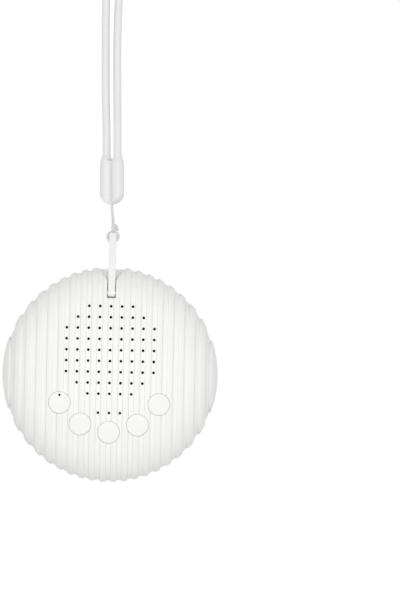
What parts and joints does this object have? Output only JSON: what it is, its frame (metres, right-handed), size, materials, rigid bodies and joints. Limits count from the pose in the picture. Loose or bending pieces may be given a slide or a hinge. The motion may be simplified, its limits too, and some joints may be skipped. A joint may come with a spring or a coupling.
{
  "type": "white noise sound machine",
  "caption": "Portable round sound machine lying on its back: domed case with straight ribs, sound holes, an arc of round buttons and a wrist strap on a hinged band.",
  "frame": {"origin": "centre of the base pad's underside, on the table", "axes": "+Z out of the front face, +Y from the case towards the strap, +X to the right seen from the front"},
  "size_m": [0.0898, 0.2827, 0.0346],
  "materials": {
    "shell_white": "satin",
    "button_white": "fine texture",
    "band_white": "soft matte",
    "bullet_grey": "soft matte",
    "cord_white": "braided",
    "pad_grey": "matte",
    "board_green": "solder mask",
    "part_black": "moulded",
    "light_smoked": "smoked",
    "led_yellow": "encapsulated",
    "steel": "plated",
    "nickel": "nickel plate",
    "foil_silver": "pouch foil",
    "foam_grey": "foam",
    "connector_cream": "moulded",
    "wire_red": "insulation",
    "wire_black": "insulation",
    "strip_brown": "paper laminate",
    "basket_black": "black",
    "cone_black": "pressed paper",
    "roll_black": "matte",
    "coil_copper": "enamelled copper",
    "spider_yellow": "treated cloth",
    "ferrite": "sintered",
    "cloth_black": "fine weave"
  },
  "bodies": {
    "case": {"front_shell": "shell_white", "rear_shell": "shell_white", "base_pad": "pad_grey", "circuit_board": "board_green", "key_switches": "part_black", "indicator_leds": "led_yellow", "light_guides": "light_smoked", "controller_chip": "part_black", "amplifier_chip": "part_black", "usb_socket": "nickel", "battery_cell": "foil_silver", "battery_tape": "foam_grey", "battery_connector": "connector_cream", "battery_plug": "connector_cream", "battery_leads": "wire_red", "speaker_leads": "wire_black", "speaker_basket": "basket_black", "speaker_terminal": "strip_brown", "speaker_gasket": "foam_grey", "speaker_surround": "roll_black", "speaker_spider": "spider_yellow", "speaker_top_plate": "steel", "speaker_magnet": "ferrite", "speaker_yoke": "steel", "dust_cloth": "cloth_black", "case_screws": "steel", "board_screws": "steel", "speaker_screws": "steel", "strap_pin": "steel"},
    "cone": {"speaker_cone": "cone_black", "dust_cap": "cone_black", "voice_coil": "coil_copper"},
    "strap": {"strap_link": "band_white", "strap_string": "cord_white", "strap_bullet": "bullet_grey", "wrist_loop": "bullet_grey"},
    "power_key": {"button_power": "button_white", "key_plunger_power": "part_black"},
    "volume_down_key": {"button_volume_down": "button_white", "key_plunger_volume_down": "part_black"},
    "sound_key": {"button_sound": "button_white", "key_plunger_sound": "part_black"},
    "volume_up_key": {"button_volume_up": "button_white", "key_plunger_volume_up": "part_black"},
    "timer_key": {"button_timer": "button_white", "key_plunger_timer": "part_black"}
  },
  "joints": [
    {"name": "power_press", "type": "slide", "parent": "case", "child": "power_key", "axis": [0, 0, -1], "range_m": [0, 0.0003], "stiffness_N_per_m": 3000},
    {"name": "volume_down_press", "type": "slide", "parent": "case", "child": "volume_down_key", "axis": [0, 0, -1], "range_m": [0, 0.0003], "stiffness_N_per_m": 3000},
    {"name": "sound_press", "type": "slide", "parent": "case", "child": "sound_key", "axis": [0, 0, -1], "range_m": [0, 0.0003], "stiffness_N_per_m": 3000},
    {"name": "volume_up_press", "type": "slide", "parent": "case", "child": "volume_up_key", "axis": [0, 0, -1], "range_m": [0, 0.0003], "stiffness_N_per_m": 3000},
    {"name": "timer_press", "type": "slide", "parent": "case", "child": "timer_key", "axis": [0, 0, -1], "range_m": [0, 0.0003], "stiffness_N_per_m": 3000},
    {"name": "cone_stroke", "type": "slide", "parent": "case", "child": "cone", "axis": [0, 0, 1], "range_m": [-0.0008, 0.0008], "stiffness_N_per_m": 3000, "deforming": ["speaker_surround", "speaker_spider"]},
    {"name": "strap_swing", "type": "hinge", "parent": "case", "child": "strap", "pos_m": [0, 0.03416, 0.02735], "axis": [1, 0, 0], "range_deg": [0, 118]}
  ]
}
